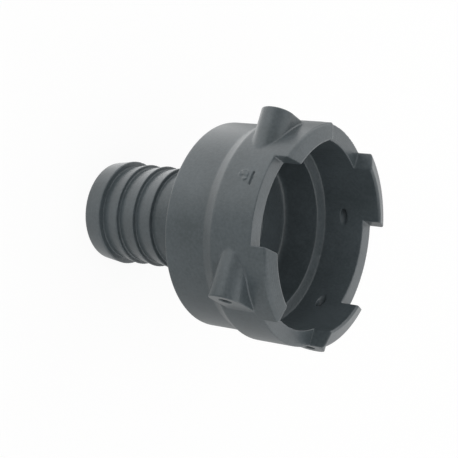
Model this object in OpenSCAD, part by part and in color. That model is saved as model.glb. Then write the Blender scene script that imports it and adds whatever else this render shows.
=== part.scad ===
// Straight hose connector: a moulded socket with four claws and four screw bosses, and a ridged hose tail.
// The part stands on the end of its tail, with the origin on the axis in the plane of that end.
// Z runs up the axis toward the socket's mouth, and X runs along the screws.

/* [Socket] */
// Diameter of the socket's bore
bore_d = 46; // [44:0.5:60]
// Wall round the bore
wall = 4; // [3.5:0.25:6]
// Depth of the bore behind the notch floors
bore_depth = 11; // [10:0.5:13]
// Width of the conical seat at the end of the bore, along the radius
seat_w = 2.6; // [1.5:0.1:4]
// Depth of the seat along the axis
seat_drop = 0.9; // [0.4:0.1:2]
// Depth of the whole cup behind the notch floors
cup_depth = 21.2; // [17:0.2:30]
// Radius that the chamber loses between the seat and the floor
chamber_draft = 0.8; // [0:0.1:1.5]
// Radius of the round between the chamber's wall and its floor
floor_round = 1.2; // [0.4:0.1:2]
// Thickness of the cup's floor
floor_t = 4.3; // [3:0.1:6]
// Height of the step between the rear and the front of the socket
step_h = 1.6; // [0.6:0.1:2]
// Length of the conical step
step_l = 3.2; // [2:0.1:5]
// Bevel round the cup's rear edge
rear_bevel = 0.5; // [0.2:0.1:1]

/* [Claws] */
// Height of the claws at their inner edge
claw_h = 5; // [2.5:0.25:9]
// Slope of the claws' end faces
claw_slope = 17; // [0:1:30]
// Bevel round the claws' outer edge, along the radius
claw_bevel = 0.5; // [0.2:0.1:1]
// Lead-in at the bore's mouth
lead_in = 0.4; // [0.2:0.1:0.8]
// Width of the notches between the claws
notch_w = 21.8; // [12:0.2:26]

/* [Screw bosses] */
// Diameter of the screw holes
screw_d = 3.2; // [2:0.1:4]
// Distance of the screws below the notch floors
screw_back = 5.6; // [5:0.1:8]
// Distance from the bore's wall to the line of the screws, inward
screw_inset = 2.9; // [2:0.1:4]
// Distance from the axis to the end faces of the bosses on the right, +X
reach_right = 23.5; // [20:0.1:30]
// The same on the left, -X
reach_left = 22.7; // [20:0.1:30]
// Wall round the screw hole
boss_wall = 2.45; // [1.5:0.05:2.8]

/* [Gate mark] */
// Diameter of the moulding gate's stub
gate_d = 2.6; // [1.5:0.1:4]
// Height of the stub
gate_h = 0.4; // [0.2:0.1:0.8]
// Angle of the stub from the front, -Y, toward the left
gate_angle = 10; // [0:1:20]

/* [Hose tail] */
// Diameter over the ridges, for a hose of 25 mm bore
ridge_d = 26; // [20:0.5:32]
// Depth of the grooves behind the ridges
groove_depth = 1.1; // [0.6:0.1:1.5]
// Diameter over the end ridge
end_ridge_d = 26.9; // [24:0.1:34]
// Diameter of the tail's end
tip_d = 25.4; // [20:0.2:32]
// Length of the end ridge
end_ridge_l = 5.5; // [3:0.1:9]
// Pitch of the ridges
ridge_pitch = 5.35; // [4:0.05:8]
// Number of ridges behind the end ridge
ridge_count = 3; // [1:1:6]
// Length of the plain neck between the last ridge and the cup
neck_l = 14.5; // [6:0.5:30]
// Diameter of the bore through the tail
tail_bore_d = 18; // [10:0.5:19]

/* [Hidden] */
$fn = 96;
// Far enough past a face to cut it cleanly
past = 1;
// Steps of the floor's round
round_steps = 6;
bore_r = bore_d / 2;
front_r = bore_r + wall;
rear_r = front_r - step_h;
seat_r = bore_r - seat_w;
chamber_r = seat_r - chamber_draft;
ridge_r = ridge_d / 2;
groove_r = ridge_r - groove_depth;
neck_z = end_ridge_l + ridge_count * ridge_pitch;
rear_z = neck_z + neck_l;
floor_z = rear_z + floor_t;
notch_z = floor_z + cup_depth;
seat_z = notch_z - bore_depth;
mouth_z = notch_z + claw_h;
claw_bevel_r = front_r - claw_bevel;
claw_edge_z = mouth_z - (claw_bevel_r - bore_r - lead_in) * tan(claw_slope);
screw_y = bore_r - screw_inset;
screw_z = notch_z - screw_back;
column_r = screw_d / 2 + boss_wall;

// Ridges widen toward the cup and drop square to the groove, so that a hose slides on and is held
function ridge_points() = concat(
    [[tip_d / 2, 0], [end_ridge_d / 2, end_ridge_l]],
    [for (i = [0 : ridge_count - 1]) each [
        [groove_r, end_ridge_l + i * ridge_pitch],
        [ridge_r, end_ridge_l + (i + 1) * ridge_pitch]]],
    [[groove_r, neck_z]]);

// Outside of the socket and the tail, with the claws still a closed ring
module outer_form() {
    rotate_extrude() polygon(concat(
        [[0, 0]],
        ridge_points(),
        [[groove_r, rear_z],
         [rear_r - rear_bevel, rear_z],
         [rear_r, rear_z + rear_bevel],
         [rear_r, seat_z - step_l],
         [front_r, seat_z],
         [front_r, claw_edge_z - claw_bevel],
         [claw_bevel_r, claw_edge_z],
         [bore_r + lead_in, mouth_z],
         [0, mouth_z]]));
}

// Inside of the socket: lead-in, bore, conical seat, chamber and rounded floor, then the tail's bore
module cavity() {
    floor_arc = [for (i = [0 : round_steps]) let (a = 90 * i / round_steps)
        [chamber_r - floor_round + floor_round * cos(a), floor_z + floor_round - floor_round * sin(a)]];
    rotate_extrude() polygon(concat(
        [[0, mouth_z + past],
         [bore_r + lead_in + past, mouth_z + past],
         [bore_r + lead_in, mouth_z],
         [bore_r, mouth_z - lead_in],
         [bore_r, seat_z],
         [seat_r, seat_z - seat_drop]],
        floor_arc,
        [[tail_bore_d / 2, floor_z],
         [tail_bore_d / 2, -past],
         [0, -past]]));
}

// Section of a boss in the Y and Z plane: round over the screw, and straight from there into the wall
module boss_section() {
    translate([screw_y, screw_z]) circle(column_r);
    translate([0, screw_z - column_r]) square([screw_y, 2 * column_r]);
}

// The four bosses lie along the screws, two at the back and two at the front
module bosses() {
    for (side = [0, 1]) mirror([0, side, 0])
        translate([-reach_left, 0, 0]) rotate([90, 0, 90])
            linear_extrude(reach_left + reach_right) boss_section();
}

// One hole runs through each pair of bosses and crosses the bore between them
module screw_holes() {
    for (side = [-1, 1]) translate([-reach_left - past, side * screw_y, screw_z])
        rotate([0, 90, 0]) cylinder(h = reach_left + reach_right + 2 * past, d = screw_d);
}

// Stub left by the moulding gate, on the front of the socket between two bosses
module gate_stub() {
    translate([0, 0, screw_z]) rotate([90, 0, -gate_angle]) cylinder(h = front_r + gate_h, d = gate_d);
}

// Two crossing slots leave four claws
module notches() {
    slot_l = 2 * (front_r + past);
    translate([-notch_w / 2, -slot_l / 2, notch_z]) cube([notch_w, slot_l, claw_h + past]);
    translate([-slot_l / 2, -notch_w / 2, notch_z]) cube([slot_l, notch_w, claw_h + past]);
}

module connector_body() {
    color("#5f6568")
    difference() {
        union() {
            outer_form();
            bosses();
            gate_stub();
        }
        cavity();
        screw_holes();
        notches();
    }
}

connector_body();
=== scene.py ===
# %% [markdown]
# # A straight hose connector, moulded in charcoal plastic
# The part is one injection moulding: a socket with four claws and four screw bosses, and a ridged hose tail.
# It stands on the end of its tail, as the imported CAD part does, and everything here is placed in that frame.

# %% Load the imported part
import math

import bpy
from mathutils import Matrix, Vector


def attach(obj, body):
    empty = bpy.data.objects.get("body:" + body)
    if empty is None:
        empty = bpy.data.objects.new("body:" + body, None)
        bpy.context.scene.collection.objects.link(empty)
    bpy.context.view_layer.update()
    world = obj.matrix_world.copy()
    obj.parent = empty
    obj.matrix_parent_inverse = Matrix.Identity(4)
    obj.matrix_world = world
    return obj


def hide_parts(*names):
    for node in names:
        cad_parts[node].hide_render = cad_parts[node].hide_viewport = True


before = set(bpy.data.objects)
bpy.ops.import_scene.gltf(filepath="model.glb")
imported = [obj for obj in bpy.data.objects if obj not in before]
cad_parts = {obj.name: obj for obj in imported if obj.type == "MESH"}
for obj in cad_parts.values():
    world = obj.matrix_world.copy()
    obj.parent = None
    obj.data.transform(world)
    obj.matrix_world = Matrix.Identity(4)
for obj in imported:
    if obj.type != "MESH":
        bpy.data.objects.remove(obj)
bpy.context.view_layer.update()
scene = bpy.context.scene
MM = 0.001


# %% [markdown]
# ## One helper for nodes
# Both the shape and the finish are node trees here. They could be drawn by hand in the node editor, but
# written out they can be read and changed line by line. One small function adds a node, applies its
# settings and fills its inputs, so that each line below reads as one node.

# %% A function that adds a node
def add_node(tree, kind, inputs=None, **settings):
    """Adds a node; inputs maps a socket's name or index to another socket or to a value."""
    node = tree.nodes.new(kind)
    place = len(tree.nodes)
    node.location = (200 * (place % 14), -260 * (place // 14))
    for name, value in settings.items():
        setattr(node, name, value)
    for key, value in (inputs or {}).items():
        if isinstance(value, bpy.types.NodeSocket):
            tree.links.new(value, node.inputs[key])
        else:
            node.inputs[key].default_value = value
    return node


# %% [markdown]
# ## The moulding as a field of distances
# The whole piece follows a rule: it is turned about one axis, its ridges repeat, and its bosses and claws
# mirror each other. It could be booleans of turned meshes, but a real moulding has a radius on every edge
# and a fillet at the foot of every boss, and bevels break where such round walls cross.
# So the rule is written as distances. Each line becomes one Math node of a Geometry Nodes tree, and its
# value is a distance in millimetres that is negative inside the plastic. It may use x, y and z, and r, the
# distance from the axis. MINIMUM joins two forms, MAXIMUM keeps what they share, and their SMOOTH versions
# leave a fillet or a rounded edge, about 0.6 of their last number in radius.
# The sizes are those of the CAD part, in millimetres, and heights are measured from the tail's end.

# %% The socket's sizes
STEP_SLOPE = 1.6 / 3.2
CLAW_SLOPE = math.radians(17)
sizes = {
    "bore_r": 23.0, "front_r": 27.0, "rear_r": 25.4, "rear_z": 36.05, "step_z": 47.35, "mouth_z": 66.55,
    "step_slope": STEP_SLOPE, "step_cos": math.cos(math.atan(STEP_SLOPE)),
    "claw_slope": math.tan(CLAW_SLOPE), "claw_cos": math.cos(CLAW_SLOPE),
    "claw_bevel_r": 26.5, "claw_edge_z": 65.602, "bevel_cos": math.cos(math.radians(45)), "lead_in": 0.4,
    "fine_edge": 0.22, "step_edge": 0.3, "rear_edge": 0.9,
}
print("Sizes of the socket:", len(sizes))

# %% The socket's rule: two walls with a conical step, a rounded rear edge, and sloped and bevelled claw ends
SOCKET_RULE = """
front_wall = SUBTRACT r front_r
rear_wall = SUBTRACT r rear_r
above_step = SUBTRACT z step_z
step_gain = MULTIPLY above_step step_slope
step_offset = SUBTRACT rear_wall step_gain
step_cone = MULTIPLY step_offset step_cos
step = SMOOTH_MIN rear_wall step_cone step_edge
turned_wall = SMOOTH_MAX front_wall step step_edge
rear_face = SUBTRACT rear_z z
turned = SMOOTH_MAX turned_wall rear_face rear_edge
claw_inner_r = ADD bore_r lead_in
past_inner = SUBTRACT r claw_inner_r
claw_fall = MULTIPLY past_inner claw_slope
above_mouth = SUBTRACT z mouth_z
claw_rise = ADD above_mouth claw_fall
claw_top = MULTIPLY claw_rise claw_cos
past_bevel = SUBTRACT r claw_bevel_r
above_edge = SUBTRACT z claw_edge_z
bevel_sum = ADD past_bevel above_edge
bevel = MULTIPLY bevel_sum bevel_cos
topped = SMOOTH_MAX turned claw_top fine_edge
socket = SMOOTH_MAX topped bevel fine_edge
"""
print("Nodes for the socket:", SOCKET_RULE.count("="))

# %% [markdown]
# ## Screw bosses
# Each boss is a round column that lies along the wall, with straight sides into it. The two columns at the
# back and the two at the front mirror each other, so the rule works on y without its sign.
# The holes are left by core pins. They taper inward, so that the mould can pull them out and the screws
# bite harder the deeper they go.

# %% The bosses' sizes and rule
sizes.update({
    "screw_y": 20.1, "screw_z": 55.95, "screw_r": 1.6, "pin_x": 12.0, "pin_r": 0.95, "pin_taper": 0.08,
    "column_r": 4.05, "reach_right": 23.5, "reach_left": 22.7, "boss_edge": 0.4, "boss_fillet": 0.25,
})
BOSS_RULE = """
y_side = ABSOLUTE y
from_screw_y = SUBTRACT y_side screw_y
from_screw_z = SUBTRACT z screw_z
screw_dy = MULTIPLY from_screw_y from_screw_y
screw_dd = MULTIPLY_ADD from_screw_z from_screw_z screw_dy
screw_d = SQRT screw_dd
x_side = ABSOLUTE x
past_pin = SUBTRACT x_side pin_x
along_pin = MAXIMUM past_pin 0
pin_gain = MULTIPLY_ADD along_pin pin_taper pin_r
pin_here = MINIMUM pin_gain screw_r
screw_hole = SUBTRACT screw_d pin_here
outward = MAXIMUM from_screw_y 0
outward_2 = MULTIPLY outward outward
section_dd = MULTIPLY_ADD from_screw_z from_screw_z outward_2
section_d = SQRT section_dd
section = SUBTRACT section_d column_r
end_right = SUBTRACT x reach_right
x_back = MULTIPLY x -1
end_left = SUBTRACT x_back reach_left
ends = MAXIMUM end_right end_left
boss = SMOOTH_MAX section ends boss_edge
bossed = SMOOTH_MIN socket boss boss_fillet
"""
print("Nodes for the bosses:", BOSS_RULE.count("="))

# %% [markdown]
# ## Gate mark
# The gate is where the plastic was fed into the mould, at the front between two bosses. Twisting off the
# sprue left a low stub with a torn, slanting top, a small pit, a nib at its side, and a narrow slot in the
# wall beside it. It could be sculpted, but as four small forms it stays in the same rule. The value named
# torn is a noise that roughens the stub's top.

# %% The gate mark's sizes and rule
GATE_ANGLE = math.radians(10)
sizes.update({
    "gate_r": 1.3, "gate_top_r": 27.55, "gate_tear": 0.7, "gate_slant": 0.2, "gate_edge": 0.15,
    "gate_cos": math.cos(GATE_ANGLE), "gate_sin": math.sin(GATE_ANGLE),
    "pit_side": 0.6, "pit_rise": -0.3, "pit_r": 0.5,
    "nib_side": 0.75, "nib_rise": 0.6, "nib_r": 0.6, "nib_top_r": 27.15, "nib_slope": -0.4,
    "slot_z": 58.3, "slot_mid": 0.6, "slot_half": 1.4, "slot_r": 0.3, "slot_depth": 0.5,
})
GATE_RULE = """
gate_x = MULTIPLY x gate_cos
gate_y = MULTIPLY y gate_sin
gate_side = SUBTRACT gate_x gate_y
gate_side_2 = MULTIPLY gate_side gate_side
gate_dd = MULTIPLY_ADD from_screw_z from_screw_z gate_side_2
gate_d = SQRT gate_dd
gate_pin = SUBTRACT gate_d gate_r
gate_front = MAXIMUM gate_pin y
past_gate_top = SUBTRACT r gate_top_r
torn_top = MULTIPLY_ADD torn gate_tear past_gate_top
gate_height = MULTIPLY_ADD gate_side gate_slant torn_top
gate_whole = SMOOTH_MAX gate_front gate_height gate_edge
pit_dx = SUBTRACT gate_side pit_side
pit_dz = SUBTRACT from_screw_z pit_rise
pit_dx_2 = MULTIPLY pit_dx pit_dx
pit_dd = MULTIPLY_ADD pit_dz pit_dz pit_dx_2
pit_d = SQRT pit_dd
off_pit = SUBTRACT pit_r pit_d
gate_pitted = SMOOTH_MAX gate_whole off_pit gate_edge
nib_dx = SUBTRACT gate_side nib_side
nib_dz = SUBTRACT from_screw_z nib_rise
nib_dx_2 = MULTIPLY nib_dx nib_dx
nib_dd = MULTIPLY_ADD nib_dz nib_dz nib_dx_2
nib_d = SQRT nib_dd
nib_pin = SUBTRACT nib_d nib_r
nib_front = MAXIMUM nib_pin y
past_nib_top = SUBTRACT r nib_top_r
nib_height = MULTIPLY_ADD nib_dx nib_slope past_nib_top
nib = SMOOTH_MAX nib_front nib_height gate_edge
gate = SMOOTH_MIN gate_pitted nib gate_edge
slot_off = SUBTRACT gate_side slot_mid
slot_far = ABSOLUTE slot_off
slot_over = SUBTRACT slot_far slot_half
slot_past = MAXIMUM slot_over 0
slot_past_2 = MULTIPLY slot_past slot_past
slot_dz = SUBTRACT z slot_z
slot_dd = MULTIPLY_ADD slot_dz slot_dz slot_past_2
slot_d = SQRT slot_dd
slot_side = SUBTRACT slot_d slot_r
slot_front = MAXIMUM slot_side y
slot_floor_r = SUBTRACT front_r slot_depth
slot_floor = SUBTRACT slot_floor_r r
slot = MAXIMUM slot_front slot_floor
not_slot = MULTIPLY slot -1
slotted = SMOOTH_MAX bossed not_slot gate_edge
outside = SMOOTH_MIN slotted gate gate_edge
"""
print("Nodes for the gate mark:", GATE_RULE.count("="))

# %% [markdown]
# ## Hose tail
# Ridges that widen toward the socket let a hose slide on and hold it there. They could be an array, but one
# rule draws them all: FLOOR gives the number of the ridge at a height, and the rest of the division tells
# how far up that ridge the height is. The value named crest keeps the distance true just past the square
# top of a ridge, where the next one has begun.

# %% The tail's sizes and rule
sizes.update({
    "groove_r": 11.9, "ridge_r": 13.0, "tip_r": 12.7, "end_ridge_r": 13.45,
    "end_ridge_l": 5.5, "ridge_pitch": 5.35, "ridge_count": 3.0, "neck_z": 21.55,
    "ridge_edge": 0.14, "ridge_foot": 0.1, "tip_edge": 0.6, "neck_fillet": 0.9,
})
TAIL_RULE = """
neck = SUBTRACT r groove_r
above_end = SUBTRACT z end_ridge_l
ridge_part = DIVIDE above_end ridge_pitch
ridge_floor = FLOOR ridge_part
ridge_low = MAXIMUM ridge_floor 0
ridge_index = MINIMUM ridge_low ridge_count
ridge_start = MULTIPLY ridge_index ridge_pitch
in_ridge = SUBTRACT above_end ridge_start
ridge_h = SUBTRACT ridge_r groove_r
ridge_slope = DIVIDE ridge_h ridge_pitch
ridge_gain = MULTIPLY in_ridge ridge_slope
ridge_side = SUBTRACT neck ridge_gain
to_crest = SUBTRACT in_ridge ridge_pitch
above_last = SUBTRACT z neck_z
ridge_top = MAXIMUM to_crest above_last
ridge = SMOOTH_MAX ridge_side ridge_top ridge_edge
over_ridge = SUBTRACT r ridge_r
below_ridges = MULTIPLY above_end -1
crest_shadow = SMOOTH_MAX in_ridge over_ridge ridge_edge
crest = MAXIMUM crest_shadow below_ridges
ridges = MINIMUM ridge crest
over_tip = SUBTRACT r tip_r
tip_h = SUBTRACT end_ridge_r tip_r
tip_slope = DIVIDE tip_h end_ridge_l
tip_gain = MULTIPLY z tip_slope
tip_side = SUBTRACT over_tip tip_gain
end_ridge = SMOOTH_MAX tip_side above_end ridge_edge
all_ridges = MINIMUM ridges end_ridge
ridged = SMOOTH_MIN all_ridges neck ridge_foot
tail_foot = MULTIPLY z -1
tail_cut = SMOOTH_MAX ridged tail_foot tip_edge
in_floor = SUBTRACT z rear_z
tail_head = SUBTRACT in_floor 2
tail = MAXIMUM tail_cut tail_head
blank = SMOOTH_MIN outside tail neck_fillet
"""
print("Nodes for the tail:", TAIL_RULE.count("="))

# %% [markdown]
# ## The hollow
# Inside are the bore for the pipe end, the conical seat that stops it, a chamber with a slight draft, and
# the bore through the tail. They could be cut out as a second mesh, but distances only need a turned sign:
# then the inside of the hollow is outside the plastic.

# %% The hollow's sizes and rule
SEAT_SLOPE = 0.9 / 2.6
sizes.update({
    "seat_r": 20.4, "seat_low_z": 49.65,
    "seat_slope": SEAT_SLOPE, "seat_cos": math.cos(math.atan(SEAT_SLOPE)),
    "chamber_r": 19.6, "draft": 0.8 / 8.1, "floor_z": 40.35, "floor_round": 1.2, "tail_bore_r": 9.0,
    "seat_edge": 0.15, "chamber_round": 2.1,
})
HOLLOW_RULE = """
bore = SUBTRACT r bore_r
past_seat = SUBTRACT r seat_r
seat_gain = MULTIPLY_ADD past_seat seat_slope seat_low_z
seat_face = SUBTRACT seat_gain z
seat = MULTIPLY seat_face seat_cos
bore_end = SMOOTH_MAX bore seat seat_edge
above_floor = SUBTRACT z floor_z
above_round = SUBTRACT above_floor floor_round
draft_gain = MULTIPLY above_round draft
past_chamber = SUBTRACT r chamber_r
chamber_wall = SUBTRACT past_chamber draft_gain
floor_face = MULTIPLY above_floor -1
chamber = SMOOTH_MAX chamber_wall floor_face chamber_round
cavity = SMOOTH_MIN bore_end chamber seat_edge
lead_low = SUBTRACT above_mouth bore
lead_face = ADD lead_low lead_in
lead_cone = MULTIPLY lead_face bevel_cos
lead = MULTIPLY lead_cone -1
mouth = SMOOTH_MIN cavity lead fine_edge
tail_bore = SUBTRACT r tail_bore_r
hollow = SMOOTH_MIN mouth tail_bore tip_edge
not_hollow = MULTIPLY hollow -1
shell = SMOOTH_MAX blank not_hollow fine_edge
"""
print("Nodes for the hollow:", HOLLOW_RULE.count("="))

# %% [markdown]
# ## Notches and screw holes
# Two crossing slots leave the claws. On the real piece two claws are a little longer at one end than the CAD
# part has them, so near_longer and far_longer narrow the slots there. The screw holes come off last.
# A volume counts as solid where its density is high, so the last line turns the distance round and lifts it:
# the skin lies where the density is 1.

# %% The notches' sizes and rule
sizes.update({"half_notch": 10.9, "notch_z": 61.55, "near_longer": 0.6, "far_longer": 1.2, "hole_edge": 0.2})
NOTCH_RULE = """
on_left = LESS_THAN x 0
in_front = LESS_THAN y 0
at_back = SUBTRACT 1 in_front
near_claw = MULTIPLY on_left in_front
far_claw = MULTIPLY on_left at_back
even_y = SUBTRACT x_side half_notch
even_x = SUBTRACT y_side half_notch
slot_y = MULTIPLY_ADD near_claw near_longer even_y
slot_x = MULTIPLY_ADD far_claw far_longer even_x
slots = MINIMUM slot_x slot_y
below_notch = SUBTRACT notch_z z
notches = SMOOTH_MAX slots below_notch fine_edge
not_notches = MULTIPLY notches -1
clawed = SMOOTH_MAX shell not_notches fine_edge
not_screws = MULTIPLY screw_hole -1
moulding = SMOOTH_MAX clawed not_screws hole_edge
density = SUBTRACT 1 moulding
"""
SKIN_DENSITY = 1.0
print("Nodes for the notches:", NOTCH_RULE.count("="), "sizes in all:", len(sizes))


# %% [markdown]
# ## From the rule to nodes
# The sizes are named inputs of the tree, so the same tree makes other connectors. Position gives the place
# of each point that the volume asks about. It is turned to millimetres here, because Math nodes with sizes
# such as 0.00022 are hard to read.

# %% The values that a rule starts from, and a node for each of its lines
TEAR_SCALE = 1.1


def start_values(tree):
    """The sizes, a point's place in millimetres, its distance from the axis and the tear's noise, by name."""
    entry = add_node(tree, "NodeGroupInput")
    known = {name: entry.outputs[name] for name in sizes}
    position = add_node(tree, "GeometryNodeInputPosition").outputs[0]
    in_mm = add_node(tree, "ShaderNodeVectorMath", {0: position, "Scale": 1 / MM},
                     operation="SCALE").outputs[0]
    flat = add_node(tree, "ShaderNodeVectorMath", {0: in_mm, 1: (1, 1, 0)}, operation="MULTIPLY").outputs[0]
    known["r"] = add_node(tree, "ShaderNodeVectorMath", {0: flat}, operation="LENGTH").outputs["Value"]
    split = add_node(tree, "ShaderNodeSeparateXYZ", {0: in_mm})
    known.update(x=split.outputs[0], y=split.outputs[1], z=split.outputs[2])
    known["torn"] = add_node(tree, "ShaderNodeTexNoise", {
        "Vector": in_mm, "Scale": TEAR_SCALE, "Detail": 1.0, "Roughness": 0.6}).outputs[0]
    return known


def add_rule(tree, rule, known):
    """Adds a Math node for each line: its name, the operation, and names or numbers as inputs."""
    for line in filter(None, rule.split("\n")):
        name, _, operation, *terms = line.split()
        values = {i: known[term] if term in known else float(term) for i, term in enumerate(terms)}
        known[name] = add_node(tree, "ShaderNodeMath", values, operation=operation, label=name).outputs[0]


# %% [markdown]
# ## The tree
# A Volume Cube node asks the rule for its value at every point of a fine grid, and Volume to Mesh lays a skin
# where the distance is nought. The grid reaches a little past the part on every side, so the skin closes.
# A finer grid would draw the edges sharper, but time and memory grow with the cube of its fineness.

# %% Build the tree from the rules
GRID_STEP = 0.22


def build_moulding_tree(low, high, finish):
    """low and high are the corners of the grid in metres, and finish is the material that the tree sets."""
    tree = bpy.data.node_groups.new("connector_moulding", "GeometryNodeTree")
    for name in sizes:
        tree.interface.new_socket(name, in_out="INPUT", socket_type="NodeSocketFloat")
    tree.interface.new_socket("Geometry", in_out="OUTPUT", socket_type="NodeSocketGeometry")
    known = start_values(tree)
    for rule in (SOCKET_RULE, BOSS_RULE, GATE_RULE, TAIL_RULE, HOLLOW_RULE, NOTCH_RULE):
        add_rule(tree, rule, known)
    steps = [round((end - start) / (GRID_STEP * MM)) + 1 for start, end in zip(low, high)]
    grid = add_node(tree, "GeometryNodeVolumeCube", {
        "Density": known["density"], "Background": 0.0, "Min": low, "Max": high,
        "Resolution X": steps[0], "Resolution Y": steps[1], "Resolution Z": steps[2]})
    skin = add_node(tree, "GeometryNodeVolumeToMesh", {"Volume": grid.outputs[0], "Threshold": SKIN_DENSITY})
    solid = add_node(tree, "GeometryNodeRealizeInstances", {0: skin.outputs[0]})
    smooth = add_node(tree, "GeometryNodeSetShadeSmooth", {0: solid.outputs[0], "Shade Smooth": True})
    painted = add_node(tree, "GeometryNodeSetMaterial", {0: smooth.outputs[0], "Material": finish})
    add_node(tree, "NodeGroupOutput", {0: painted.outputs[0]})
    print("Nodes in the moulding's tree:", len(tree.nodes), "grid:", steps)
    return tree


# %% [markdown]
# ## The finish: glass-filled polypropylene, charcoal, from a spark-eroded mould
# Such a mould leaves a fine, even grain that scatters light, so the plastic is matt, with a broad pale
# sheen where light grazes it. The mould's turned faces leave faint rings on the end faces. Both could be
# modelled, but they are far finer than the grid, so a bump draws them, and a noise varies the tone and the
# gloss a little.

# %% Colours and sizes of the finish
# The grain is about 0.1 mm on the real piece, and the rings 0.15 mm. Both are drawn coarser, so that they
# show.
GRAIN = 0.4
SPECKLE = 0.7
CLOUD = 9.0
RING_PITCH = 0.5
GRAIN_HEIGHT = 0.08
RING_SHARE = 0.12
DARK_PATCH = "#474f52"
PALE_PATCH = "#555d61"


def srgb(hex_colour):
    """An sRGB hex colour as the linear values that Blender's nodes expect."""
    channels = [int(hex_colour[i:i + 2], 16) / 255 for i in (1, 3, 5)]
    linear = [c / 12.92 if c <= 0.04045 else ((c + 0.055) / 1.055) ** 2.4 for c in channels]
    return (*linear, 1.0)


print("Charcoal from", srgb(DARK_PATCH), "to", srgb(PALE_PATCH))


# %% The tone: wide soft clouds with a fine speckle on them
def charcoal_tone(tree, place, speckle):
    cloud = add_node(tree, "ShaderNodeTexNoise", {"Vector": place, "Scale": 1 / (CLOUD * MM), "Detail": 3.0})
    fine = add_node(tree, "ShaderNodeMath", {0: speckle, 1: 0.8, 2: -0.4}, operation="MULTIPLY_ADD")
    shade_at = add_node(tree, "ShaderNodeMath", {0: cloud.outputs[0], 1: fine.outputs[0]}, operation="ADD")
    shade = add_node(tree, "ShaderNodeValToRGB", {0: shade_at.outputs[0]})
    for stop, position, colour in zip(shade.color_ramp.elements, (0.25, 0.75), (DARK_PATCH, PALE_PATCH)):
        stop.position = position
        stop.color = srgb(colour)
    return shade.outputs[0]


# %% The relief: grain everywhere, and turned rings on faces that look along the axis
def moulded_relief(tree, place, normal):
    grain = add_node(tree, "ShaderNodeTexNoise", {"Vector": place, "Scale": 1 / (GRAIN * MM), "Detail": 3.0})
    facing = add_node(tree, "ShaderNodeSeparateXYZ", {0: normal}).outputs["Z"]
    level = add_node(tree, "ShaderNodeMath", {0: facing}, operation="ABSOLUTE").outputs[0]
    end_face = add_node(tree, "ShaderNodeMapRange", {"Value": level, "From Min": 0.85, "From Max": 0.93})
    flat = add_node(tree, "ShaderNodeVectorMath", {0: place, 1: (1, 1, 0)}, operation="MULTIPLY").outputs[0]
    radius = add_node(tree, "ShaderNodeVectorMath", {0: flat}, operation="LENGTH").outputs["Value"]
    turns = 2 * math.pi / (RING_PITCH * MM)
    phase = add_node(tree, "ShaderNodeMath", {0: radius, 1: turns}, operation="MULTIPLY")
    ring = add_node(tree, "ShaderNodeMath", {0: phase.outputs[0]}, operation="SINE").outputs[0]
    turned = add_node(tree, "ShaderNodeMath", {0: ring, 1: end_face.outputs[0]}, operation="MULTIPLY")
    relief = add_node(tree, "ShaderNodeMath", {0: turned.outputs[0], 1: RING_SHARE, 2: grain.outputs[0]},
                      operation="MULTIPLY_ADD")
    return add_node(tree, "ShaderNodeBump", {
        "Height": relief.outputs[0], "Strength": 0.5, "Distance": GRAIN_HEIGHT * MM}).outputs[0]


# %% Material: moulded charcoal polypropylene
def moulded_polypropylene():
    material = bpy.data.materials.new("moulded_polypropylene")
    material.use_nodes = True
    tree = material.node_tree
    shader = tree.nodes["Principled BSDF"]
    shader.inputs["IOR"].default_value = 1.49
    coords = add_node(tree, "ShaderNodeTexCoord").outputs
    place = coords["Object"]
    speckle = add_node(tree, "ShaderNodeTexNoise", {
        "Vector": place, "Scale": 1 / (SPECKLE * MM), "Detail": 2.0}).outputs[0]
    gloss = add_node(tree, "ShaderNodeMapRange", {"Value": speckle, "To Min": 0.26, "To Max": 0.40})
    tree.links.new(charcoal_tone(tree, place, speckle), shader.inputs["Base Color"])
    tree.links.new(gloss.outputs[0], shader.inputs["Roughness"])
    tree.links.new(moulded_relief(tree, place, coords["Normal"]), shader.inputs["Normal"])
    return material


polypropylene = moulded_polypropylene()
print("Material:", polypropylene.name, "nodes:", len(polypropylene.node_tree.nodes))


# %% [markdown]
# ## Making the piece
# The tree's inputs are set by their identifiers before it runs, on an object that is only there to carry it.
# Its result becomes a plain mesh. A Decimate modifier then thins the flat parts, where the grid left far more
# triangles than they need, and the piece stands for the CAD node.

# %% Grow the moulding on the grid
def plain_mesh(thing):
    """What an object's modifiers make, as a mesh of its own, and its number of triangles."""
    bpy.context.view_layer.update()
    mesh = bpy.data.meshes.new_from_object(thing.evaluated_get(bpy.context.evaluated_depsgraph_get()))
    mesh.calc_loop_triangles()
    return mesh, len(mesh.loop_triangles)


grid_low = (-27.6 * MM, -27.8 * MM, -0.6 * MM)
grid_high = (27.6 * MM, 27.6 * MM, 67.2 * MM)
carrier = bpy.data.objects.new("connector_grid", bpy.data.meshes.new("connector_grid"))
scene.collection.objects.link(carrier)
growth = carrier.modifiers.new("moulding", "NODES")
growth.node_group = build_moulding_tree(grid_low, grid_high, polypropylene)
for item in growth.node_group.interface.items_tree:
    if item.in_out == "INPUT":
        growth[item.identifier] = float(sizes[item.name])
grown, grown_triangles = plain_mesh(carrier)
bpy.data.objects.remove(carrier)
print("Triangles from the grid:", grown_triangles)

# %% The connector's body
TRIANGLES = 190000
body = bpy.data.objects.new("moulded_body", grown)
scene.collection.objects.link(body)
thin = body.modifiers.new("thin", "DECIMATE")
thin.ratio = min(1.0, TRIANGLES / grown_triangles)
thinned, kept_triangles = plain_mesh(body)
body.modifiers.clear()
body.data = thinned
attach(body, "root")
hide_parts("connector_body")
print("Triangles kept:", kept_triangles)


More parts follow.
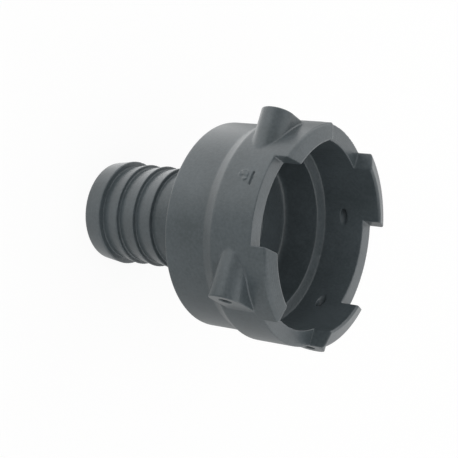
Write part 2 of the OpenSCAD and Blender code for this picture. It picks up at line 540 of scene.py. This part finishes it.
# %% [markdown]
# ## Floor
# The part was photographed in a white light tent, on its side, with its -X side up toward the bright roof.
# Here it stands, so what the floor mirrors into the plastic is strong on the -X side and fades past the
# middle, and it fades at the back as well. A plain bright floor would light both sides alike.
# The camera sees a mix of glow and lit paper. It comes out just under white, and keeps the part's soft
# shadow.

# %% Which rays see the floor's glow
def seen_white(tree):
    """1 for the rays that look at the set: the camera's own, and those that gloss or glass send on."""
    rays = add_node(tree, "ShaderNodeLightPath").outputs
    either = add_node(tree, "ShaderNodeMath", {0: rays["Is Camera Ray"], 1: rays["Is Glossy Ray"]},
                      operation="MAXIMUM")
    any_ray = add_node(tree, "ShaderNodeMath", {0: either.outputs[0], 1: rays["Is Transmission Ray"]},
                       operation="MAXIMUM")
    return any_ray.outputs[0]


# %% Pale paper that glows
# Strengths of the glow, where 1 is white: in the sheen on the bright side and on the other, and to the camera
BRIGHT_MIRROR = 2.26
FAINT_MIRROR = 0.67
SEEN_GLOW = 1.07
GLOW_SHARE = 0.85


def pale_paper():
    material = bpy.data.materials.new("pale_paper")
    material.use_nodes = True
    tree = material.node_tree
    paper = tree.nodes["Principled BSDF"]
    paper.inputs["Base Color"].default_value = srgb("#e9e9e7")
    paper.inputs["Roughness"].default_value = 0.9
    place = add_node(tree, "ShaderNodeTexCoord").outputs["Object"]
    spot = add_node(tree, "ShaderNodeSeparateXYZ", {0: place}).outputs
    fade = {"To Min": BRIGHT_MIRROR, "To Max": FAINT_MIRROR}
    across = add_node(tree, "ShaderNodeMapRange", {
        "Value": spot["X"], "From Min": -20 * MM, "From Max": 20 * MM, **fade}).outputs[0]
    back = add_node(tree, "ShaderNodeMapRange", {
        "Value": spot["Y"], "From Min": 5 * MM, "From Max": 35 * MM, **fade}).outputs[0]
    mirrored = add_node(tree, "ShaderNodeMath", {0: across, 1: back}, operation="MINIMUM").outputs[0]
    glossy = add_node(tree, "ShaderNodeLightPath").outputs["Is Glossy Ray"]
    bright = add_node(tree, "ShaderNodeMix", {0: glossy, 2: SEEN_GLOW, 3: mirrored}).outputs[0]
    glow = add_node(tree, "ShaderNodeEmission", {"Color": (1, 1, 1, 1), "Strength": bright})
    share = add_node(tree, "ShaderNodeMath", {0: seen_white(tree), 1: GLOW_SHARE}, operation="MULTIPLY")
    mix = add_node(tree, "ShaderNodeMixShader", {
        0: share.outputs[0], 1: paper.outputs[0], 2: glow.outputs[0]})
    tree.links.new(mix.outputs[0], tree.nodes["Material Output"].inputs[0])
    return material


# %% The floor
FLOOR_HALF = 1.2
floor_mesh = bpy.data.meshes.new("floor")
corners = [(FLOOR_HALF * i, FLOOR_HALF * j, 0) for i, j in ((-1, -1), (1, -1), (1, 1), (-1, 1))]
floor_mesh.from_pydata(corners, [], [(0, 1, 2, 3)])
floor_mesh.materials.append(pale_paper())
floor = bpy.data.objects.new("floor", floor_mesh)
scene.collection.objects.link(floor)
print("Floor:", 2 * FLOOR_HALF, "m square")

# %% [markdown]
# ## The tent's light
# The world is the tent. The camera stood in its front opening, which shows in the sheen as a dark place,
# while the cloth all round it is bright. The light without sheen came mostly from that front. Both change
# with the angle to the opening's direction. One soft lamp on the left stands for the tent's brighter side.

# %% The tent as a world
OPENING = (0.215, -0.791, 0.573)
# Cosines of the angle to the opening, between which its edge fades
OPENING_EDGE = (0.55, 0.9)
# Strengths round the part and at the opening, of the soft light and of what the sheen mirrors
SOFT_LIGHT = (0.5, 1.15)
SHEEN = (1.5, 0.15)
world = bpy.data.worlds.new("tent")
world.use_nodes = True
tent = world.node_tree
way = add_node(tent, "ShaderNodeTexCoord").outputs["Generated"]
toward_front = add_node(tent, "ShaderNodeVectorMath", {0: way, 1: OPENING}, operation="DOT_PRODUCT")
at_front = add_node(tent, "ShaderNodeMapRange", {
    "Value": toward_front.outputs["Value"], "From Min": OPENING_EDGE[0], "From Max": OPENING_EDGE[1]},
    interpolation_type="SMOOTHSTEP").outputs[0]
soft, mirrored = (
    add_node(tent, "ShaderNodeMapRange", {"Value": at_front, "To Min": low, "To Max": high}).outputs[0]
    for low, high in (SOFT_LIGHT, SHEEN))
rays = add_node(tent, "ShaderNodeLightPath").outputs
strength = add_node(tent, "ShaderNodeMix", {0: rays["Is Glossy Ray"], 2: soft, 3: mirrored}).outputs[0]
light = add_node(tent, "ShaderNodeBackground", {"Color": (1, 1, 1, 1), "Strength": strength})
white = add_node(tent, "ShaderNodeBackground", {"Color": (1, 1, 1, 1), "Strength": 1.0})
seen = add_node(tent, "ShaderNodeMath", {0: rays["Is Camera Ray"], 1: rays["Is Transmission Ray"]},
                operation="MAXIMUM")
tent_mix = add_node(tent, "ShaderNodeMixShader", {
    0: seen.outputs[0], 1: light.outputs[0], 2: white.outputs[0]})
tent.links.new(tent_mix.outputs[0], tent.nodes["World Output"].inputs[0])
scene.world = world
scene.view_settings.view_transform = "Standard"
print("World:", world.name, "nodes:", len(tent.nodes))

# %% The lamp
MIDDLE = Vector((0, 0, 0.04))
LAMP_PLACE = Vector((-0.6, 0.02, 0.1))
lamp = bpy.data.lights.new("tent_left", "AREA")
lamp.shape = "DISK"
lamp.size = 0.4
lamp.energy = 0.4
lamp_holder = bpy.data.objects.new("tent_left", lamp)
lamp_turn = (MIDDLE - LAMP_PLACE).to_track_quat("-Z", "Y").to_matrix().to_4x4()
lamp_holder.matrix_world = Matrix.Translation(LAMP_PLACE) @ lamp_turn
scene.collection.objects.link(lamp_holder)
print("Lamp:", lamp_holder.name, "watts:", round(lamp.energy, 3))

# %% [markdown]
# ## Camera
# The view could be found by eye, but it was fitted to the circles of the part in the photograph. The
# picture's left is the tail's end and its right the mouth, so the camera lies on its side.

# %% The camera, by its three directions and its place in metres
camera_data = bpy.data.cameras.new("camera")
camera_data.lens = 104.05
camera_data.sensor_width = 36
camera_data.clip_start = 0.01
camera = bpy.data.objects.new("camera", camera_data)
right = Vector((-0.26866, 0.51572, 0.81355))
upward = Vector((-0.93891, -0.32880, -0.10162))
backward = Vector((0.21509, -0.79115, 0.57255))
camera_turn = Matrix((right, upward, backward)).transposed().to_4x4()
camera.matrix_world = Matrix.Translation((0.07207, -0.26079, 0.22564)) @ camera_turn
scene.collection.objects.link(camera)
scene.camera = camera
print("Camera at", tuple(round(part, 3) for part in camera.matrix_world.translation))
